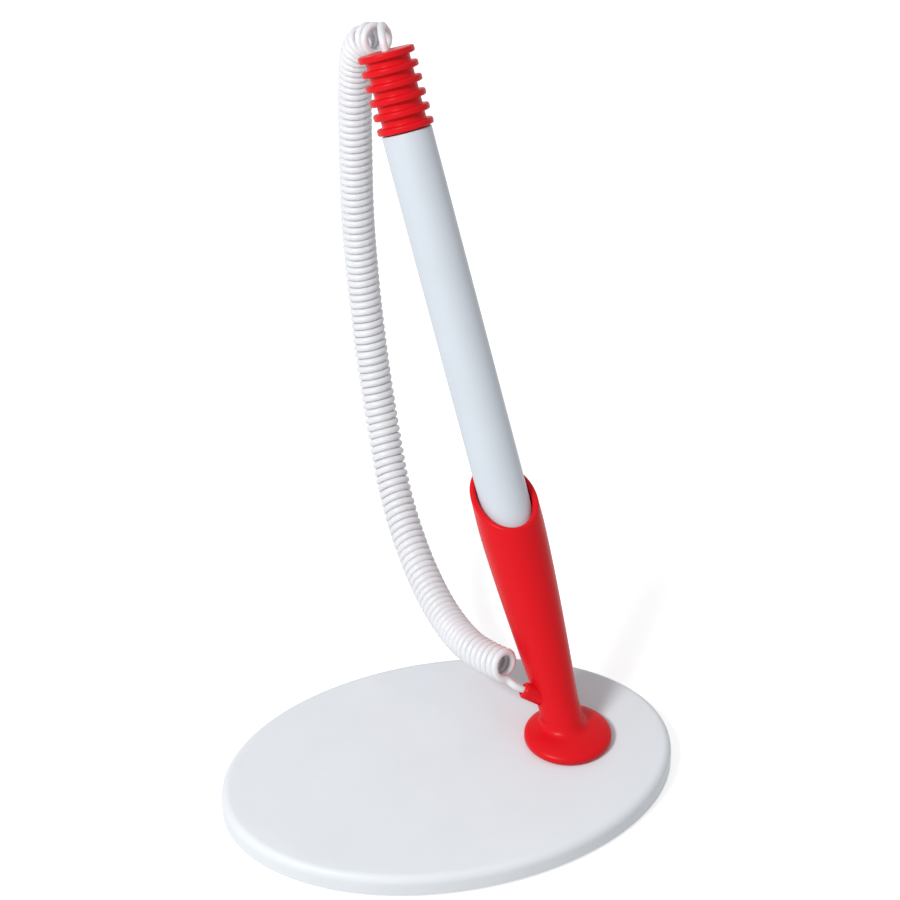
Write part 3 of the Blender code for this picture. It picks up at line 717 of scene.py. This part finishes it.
class PEN_OT_barrel(bpy.types.Operator):
    """Build the pen's barrel and nose cone"""

    bl_idname = "counter_pen.barrel"
    bl_label = "Barrel"

    def execute(self, context):
        pen = context.scene.counter_pen_pen
        white = moulded("barrel_white", pen.white, roughness=0.40, grain=0.8, gleam=0.4)
        rear = pen.nose + pen.nose_length
        front = rear + SEAT_GAP
        back = front + pen.barrel_length
        upper, lower = back - BARREL_EDGE, front + BARREL_EDGE
        shelf = pen.barrel_rear - BARREL_EDGE
        profile = [(pen.barrel_bore, back), (shelf, back)]
        profile += arc((shelf, upper), BARREL_EDGE, math.pi / 2, -math.pi / 2, 4)[1:]
        for step in range(1, BARREL_STEPS):
            part = step / BARREL_STEPS
            radius = pen.barrel_rear + (pen.barrel_front - pen.barrel_rear) * part
            profile.append((radius, upper + (lower - back) * part))
        profile += [(pen.barrel_front, front + BARREL_EDGE / 2),
                    (pen.barrel_front - BARREL_EDGE / 2, front), (pen.barrel_bore, front)]
        shape = place_shape(turned(profile, BARREL_SIDES, closed=True), pen_frame())
        barrel = object_from("pen_barrel", shape, white, "pen", smooth=40.0)
        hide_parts("barrel")

        spigot = pen.barrel_bore - SEAT_GAP
        profile = [(NOSE_BORE, rear + NOSE_SPIGOT), (spigot, rear + NOSE_SPIGOT), (spigot, rear)]
        for step in range(NOSE_STEPS + 1):
            part = 1.0 - step / NOSE_STEPS
            profile.append((nose_radius(pen, part), pen.nose + pen.nose_length * part))
        profile += [(TIP_BORE, pen.nose), (TIP_BORE, pen.nose + TIP_SEAT),
                    (NOSE_BORE, pen.nose + TIP_SEAT)]
        shape = place_shape(turned(profile, NOSE_SIDES, closed=True), pen_frame())
        nose = object_from("pen_nose", shape, white, "pen", smooth=30.0)
        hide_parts("nose_cone")
        return {'FINISHED'}


TUBE_TINT = (0.52, 0.55, 0.62)
BRASS_TINT = (0.72, 0.53, 0.24)
STEEL_TINT = (0.66, 0.66, 0.68)


class PEN_OT_refill(bpy.types.Operator):
    """Finish the ink tube, collar, writing tip and ball"""

    bl_idname = "counter_pen.refill"
    bl_label = "Refill"

    def execute(self, context):
        dress("ink_tube", moulded("tube_plastic", TUBE_TINT, roughness=0.3, coat=0.2, grain=0.5))
        dress("tip_collar", metal("collar_brass", BRASS_TINT, 0.26))
        steel = metal("tip_steel", STEEL_TINT, 0.2)
        dress("writing_tip", steel)
        dress("writing_ball", steel)
        return {'FINISHED'}


CORD_HOLE = 0.001           # radius of the hole for the cord
CORD_HOLE_BEVEL = 0.0002
RING_ROUNDING = 0.00045
GROOVE_ROUNDING = 0.0003
CAP_SPIGOT = 0.010          # length of the cap's part inside the barrel
CAP_POCKET = 0.0022         # radius of the pocket for the bead
CAP_WALL = 0.004            # from the bead to the cap's end
CAP_SIDES = 112


def cap_span(pen):
    """Stations of the cap's first ring and of its end."""
    bottom = pen.nose + pen.nose_length + pen.barrel_length + 2 * SEAT_GAP
    return bottom, bottom + (pen.ring_count - 1) * pen.ring_pitch + pen.ring_thickness


class PEN_OT_cap(bpy.types.Operator):
    """Build the ringed rear cap and finish the bead inside it"""

    bl_idname = "counter_pen.cap"
    bl_label = "Rear Cap"

    def execute(self, context):
        scene = context.scene
        pen = scene.counter_pen_pen
        bottom, top = cap_span(pen)
        profile = [(CORD_HOLE, top - CORD_HOLE_BEVEL), (CORD_HOLE + CORD_HOLE_BEVEL, top)]
        crest = pen.ring - RING_ROUNDING
        groove = pen.core + GROOVE_ROUNDING
        quarter = math.pi / 2
        for index in reversed(range(pen.ring_count)):
            low = bottom + index * pen.ring_pitch
            high = low + pen.ring_thickness
            if index < pen.ring_count - 1:
                profile += arc((groove, high + GROOVE_ROUNDING), GROOVE_ROUNDING, math.pi, quarter, 4)
            profile += arc((crest, high - RING_ROUNDING), RING_ROUNDING, quarter, -quarter, 6)
            profile += arc((crest, low + RING_ROUNDING), RING_ROUNDING, 0.0, -quarter, 6)
            if index:
                profile += arc((groove, low - GROOVE_ROUNDING), GROOVE_ROUNDING, quarter, quarter, 4)
        spigot = pen.barrel_bore - SEAT_GAP
        profile += [(spigot, bottom), (spigot, bottom - CAP_SPIGOT), (CAP_POCKET, bottom - CAP_SPIGOT),
                    (CAP_POCKET, top - CAP_WALL), (CORD_HOLE, top - CAP_WALL)]
        red = moulded("cap_red", pen.red, roughness=0.36, grain=0.8, gleam=0.12)
        shape = place_shape(turned(profile, CAP_SIDES, closed=True), pen_frame())
        cap = object_from("cap_moulding", shape, red, "pen", smooth=40.0)
        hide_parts("rear_cap")
        dress("cord_plug", moulded("plug_white", scene.counter_pen_cord.white, roughness=0.4))
        return {'FINISHED'}


# The coil's middle line, from behind the cap down to the lug: to the holder's right, back, height.
CORD_ROUTE = (
    (0.0026, 0.0866, 0.1405),
    (0.0018, 0.0906, 0.1387),
    (0.0016, 0.0939, 0.1345),
    (0.0020, 0.0961, 0.1272),
    (0.0020, 0.0967, 0.1189),
    (0.0018, 0.0964, 0.1074),
    (0.0013, 0.0952, 0.0922),
    (0.0010, 0.0926, 0.0746),
    (0.0000, 0.0880, 0.0610),
    (-0.0019, 0.0791, 0.0430),
    (-0.0048, 0.0677, 0.0302),
    (-0.0077, 0.0522, 0.0216),
    (-0.0102, 0.0348, 0.0186),
    (-0.0114, 0.0205, 0.0208),
    (-0.0107, 0.0140, 0.0223),
    (-0.0100, 0.0104, 0.0232),
)
ROUTE_STEPS = 24        # points between two knots of the route
LEAST_RATE = 0.3        # least share of the even winding rate, in the tightest bend
POINTS_PER_TURN = 16
LINK_STEPS = 18
WIRE_SIDES = 10
LUG_SINK = 0.0027       # how far the wire goes into the lug


def smooth_line(knots):
    """Sample a smooth curve through the knots."""
    spans = [(b - a).length for a, b in zip(knots, knots[1:])]
    slopes = [(knots[1] - knots[0]) / spans[0]]
    for index in range(1, len(knots) - 1):
        before = (knots[index] - knots[index - 1]) / spans[index - 1]
        after = (knots[index + 1] - knots[index]) / spans[index]
        weight = spans[index] / (spans[index - 1] + spans[index])
        slopes.append(before * weight + after * (1.0 - weight))
    slopes.append((knots[-1] - knots[-2]) / spans[-1])
    line = [knots[0]]
    for index, span in enumerate(spans):
        leave = knots[index] + slopes[index] * span / 3
        arrive = knots[index + 1] - slopes[index + 1] * span / 3
        line += interpolate_bezier(knots[index], leave, arrive, knots[index + 1],
                                   ROUTE_STEPS + 1)[1:]
    return np.array(line)


def carried_frames(line):
    """Headings along a line, and two normals that are carried along it without twisting."""
    headings = np.gradient(line, axis=0)
    headings /= np.linalg.norm(headings, axis=1)[:, None]
    normal = np.cross(headings[0], (1.0, 0.0, 0.0))
    normals = []
    for heading in headings:
        normal = normal - heading * np.dot(normal, heading)
        normal /= np.linalg.norm(normal)
        normals.append(normal)
    normals = np.array(normals)
    return headings, normals, np.cross(headings, normals)


def wind(line, cord):
    """Wind the wire round a middle line, from its entry into the first turn to its exit."""
    steps = np.linalg.norm(np.diff(line, axis=0), axis=1)
    along = np.concatenate(([0.0], np.cumsum(steps)))
    headings, normals, binormals = carried_frames(line)
    bend = np.linalg.norm(np.gradient(headings, axis=0), axis=1) / np.gradient(along)
    # Turns are spread where the line bends, so that they do not crowd on its inside.
    rate = np.clip(1.0 - cord.fan * cord.coil * bend, LEAST_RATE, 1.0)
    phase = np.concatenate(([0.0], np.cumsum((rate[1:] + rate[:-1]) / 2 * steps)))
    turns = cord.turns + (cord.leaving - cord.entry) / (2 * math.pi)
    phase *= turns / phase[-1]
    wanted = np.linspace(0.0, turns, round(turns * POINTS_PER_TURN) + 1)
    here = np.interp(wanted, phase, along)
    middle, first, second = (
        np.stack([np.interp(here, along, column) for column in values.T], axis=1)
        for values in (line, normals, binormals))
    turn = (cord.entry + 2 * math.pi * wanted)[:, None]
    return middle + cord.coil * (first * np.cos(turn) + second * np.sin(turn))


def link(start, start_heading, end, end_heading, pull):
    """Points between a turn of the coil and a straight end of the wire."""
    reach = (end - start).length * pull
    leave = start + start_heading.normalized() * reach
    arrive = end - end_heading.normalized() * reach
    return interpolate_bezier(start, leave, arrive, end, LINK_STEPS)[1:-1]


def tube(points, radius, sides):
    """Round tube along points, with flat ends."""
    _, normals, binormals = carried_frames(points)
    rows = []
    for point, first, second in zip(points, normals, binormals):
        row = []
        for side in range(sides):
            turn = 2 * math.pi * side / sides
            row.append(Vector(point + radius * (first * math.cos(turn) + second * math.sin(turn))))
        rows.append(row)
    return grid_skin(rows)


class PEN_OT_cord(bpy.types.Operator):
    """Wind the coiled cord from the cap to the holder's lug"""

    bl_idname = "counter_pen.cord"
    bl_label = "Coiled Cord"

    def execute(self, context):
        scene = context.scene
        cord = scene.counter_pen_cord
        pen = scene.counter_pen_pen
        upright, leaning = swivel_frame(), pen_frame()
        _, top = cap_span(pen)
        lug_heading = (leaning.to_3x3() @ (LUG_TIP - LUG_ROOT)).normalized()
        cap_face = leaning @ (AXIS * top)
        plug_face = leaning @ (AXIS * (top - CAP_WALL))
        cap_end = leaning @ (AXIS * (top + cord.tail))
        lug_mouth = leaning @ LUG_TIP
        lug_end = lug_mouth + lug_heading * cord.tail
        lug_floor = lug_mouth - lug_heading * LUG_SINK
        route = [upright @ (Vector(point) - AXIS * PIVOT.z) for point in CORD_ROUTE]
        coil = [Vector(point) for point in wind(smooth_line(route), cord)]
        upper_link = link(cap_end, PEN_HEADING, coil[0], coil[1] - coil[0], cord.cap_pull)
        lower_link = link(coil[-1], coil[-1] - coil[-2], lug_end, -lug_heading, cord.lug_pull)
        path = np.array([plug_face, cap_face, cap_end, *upper_link, *coil, *lower_link,
                         lug_end, lug_mouth, lug_floor])
        soft = soft_white("cord_white", cord.white)
        shape = tube(path, cord.wire, WIRE_SIDES)
        item = object_from("cord_coil", shape, soft, None, smooth=60.0)
        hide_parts("coil_cord")
        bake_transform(item)
        return {'FINISHED'}


def camera_axes(stage):
    """The camera's right, up and back directions."""
    back = Vector((math.sin(stage.azimuth) * math.cos(stage.elevation),
                   -math.cos(stage.azimuth) * math.cos(stage.elevation), math.sin(stage.elevation)))
    right = Vector((math.cos(stage.azimuth), math.sin(stage.azimuth), 0.0))
    return right, back.cross(right), back


def area_light(name, power, size, place, aim):
    """Soft square lamp that faces a point."""
    light = bpy.data.lights.new(name, 'AREA')
    light.energy = power
    light.size = size
    item = bpy.data.objects.new(name, light)
    item.location = place
    item.rotation_euler = (Vector(place) - Vector(aim)).to_track_quat('Z', 'Y').to_euler()
    bpy.context.scene.collection.objects.link(item)


def looked_at(tree):
    """1 where the camera looks, straight, mirrored or through glass; 0 for light on surfaces."""
    rays = tree.nodes.new('ShaderNodeLightPath')
    seen = Link(tree, rays.outputs["Is Camera Ray"])
    mirrored = Link(tree, rays.outputs["Is Glossy Ray"])
    through = Link(tree, rays.outputs["Is Transmission Ray"])
    return seen + mirrored + through


FLOOR_GLOW = 0.62       # lifts the lit floor to white for the camera
FLOOR_REACH = 4.0       # half the floor's width
FLOOR_DROP = 0.00005    # keeps the floor clear of the pad
SENSOR_WIDTH = 36.0     # in millimetres, as for the lens
CLIP_START = 0.01
KEY_SIZE = 0.25
KEY_AIM = 0.07          # height that the key light faces
KEY_SIDE = 0.55         # to the left of that point, as the camera sees it
KEY_FRONT = 0.55
KEY_RISE = 0.77


def floor_material(tint):
    """Pale floor that looks white to the camera and still takes shadows."""
    material = bpy.data.materials.new("floor_pale")
    material.use_nodes = True
    tree = material.node_tree
    shader = tree.nodes["Principled BSDF"]
    shader.inputs["Base Color"].default_value = (*tint, 1.0)
    shader.inputs["Roughness"].default_value = 0.9
    shader.inputs["Specular IOR Level"].default_value = 0.0
    glow = tree.nodes.new('ShaderNodeEmission')
    glow.inputs["Color"].default_value = (1.0, 1.0, 1.0, 1.0)
    (looked_at(tree) * FLOOR_GLOW).feed(glow.inputs["Strength"])
    both = tree.nodes.new('ShaderNodeAddShader')
    tree.links.new(shader.outputs[0], both.inputs[0])
    tree.links.new(glow.outputs[0], both.inputs[1])
    tree.links.new(both.outputs[0], tree.nodes["Material Output"].inputs["Surface"])
    return material


class PEN_OT_stage(bpy.types.Operator):
    """Set the camera, the pale floor and the soft light"""

    bl_idname = "counter_pen.stage"
    bl_label = "Stage"

    def execute(self, context):
        scene = context.scene
        stage = scene.counter_pen_stage
        right, up, back = camera_axes(stage)
        aim = AXIS * stage.aim_height + right * stage.aim_right + up * stage.aim_up
        camera = bpy.data.cameras.new("camera")
        camera.lens = stage.lens
        camera.sensor_width = SENSOR_WIDTH
        camera.clip_start = CLIP_START
        item = bpy.data.objects.new("camera", camera)
        turn = Matrix((right, up, back)).transposed().to_4x4()
        item.matrix_world = Matrix.Translation(aim + back * stage.distance) @ turn
        scene.collection.objects.link(item)
        scene.camera = item

        shape = bmesh.new()
        bmesh.ops.create_grid(shape, size=FLOOR_REACH, matrix=Matrix.Translation(AXIS * -FLOOR_DROP))
        mesh = bpy.data.meshes.new("floor")
        shape.to_mesh(mesh)
        shape.free()
        mesh.materials.append(floor_material(stage.floor))
        floor = bpy.data.objects.new("floor", mesh)
        scene.collection.objects.link(floor)

        middle = AXIS * KEY_AIM
        front = Vector((back.x, back.y, 0.0)).normalized()
        place = middle - right * KEY_SIDE + front * KEY_FRONT + AXIS * KEY_RISE
        area_light("key", stage.key, KEY_SIZE, place, middle)
        world = bpy.data.worlds.new("studio")
        world.use_nodes = True
        sky = world.node_tree.nodes["Background"]
        sky.inputs["Color"].default_value = (1.0, 1.0, 1.0, 1.0)
        # The sky lights surfaces with its own strength and looks white behind the object.
        brightness = stage.sky + looked_at(world.node_tree) * (1.0 - stage.sky)
        brightness.feed(sky.inputs["Strength"])
        scene.world = world
        scene.view_settings.view_transform = 'Standard'
        return {'FINISHED'}


class PEN_PT_panel(bpy.types.Panel):
    """Sidebar list of the counter pen's pieces"""

    bl_label = "Counter Pen"
    bl_idname = "PEN_PT_panel"
    bl_space_type = 'VIEW_3D'
    bl_region_type = 'UI'
    bl_category = "Counter Pen"

    def draw(self, context):
        for operator in OPERATORS:
            self.layout.operator(operator.bl_idname)
        for name, group in GROUPS.items():
            box = self.layout.box()
            box.label(text=group.__doc__)
            for field in group.__annotations__:
                box.prop(getattr(context.scene, name), field)


GROUPS = {
    "counter_pen_stand": StandSettings,
    "counter_pen_holder": HolderSettings,
    "counter_pen_pen": PenSettings,
    "counter_pen_cord": CordSettings,
    "counter_pen_stage": StageSettings,
}
OPERATORS = (PEN_OT_stage, PEN_OT_cord, PEN_OT_stand, PEN_OT_pivot, PEN_OT_holder, PEN_OT_barrel,
             PEN_OT_refill, PEN_OT_cap)
CLASSES = (*GROUPS.values(), *OPERATORS, PEN_PT_panel)


def register():
    for item in CLASSES:
        bpy.utils.register_class(item)
    for name, group in GROUPS.items():
        setattr(bpy.types.Scene, name, PointerProperty(type=group))


def unregister():
    for name in GROUPS:
        delattr(bpy.types.Scene, name)
    for item in reversed(CLASSES):
        bpy.utils.unregister_class(item)


def main():
    register()
    bpy.ops.counter_pen.stage()
    bpy.ops.counter_pen.cord()
    bpy.ops.counter_pen.stand()
    bpy.ops.counter_pen.pivot()
    bpy.ops.counter_pen.holder()
    bpy.ops.counter_pen.barrel()
    bpy.ops.counter_pen.refill()
    bpy.ops.counter_pen.cap()


if __name__ == "__main__":
    main()
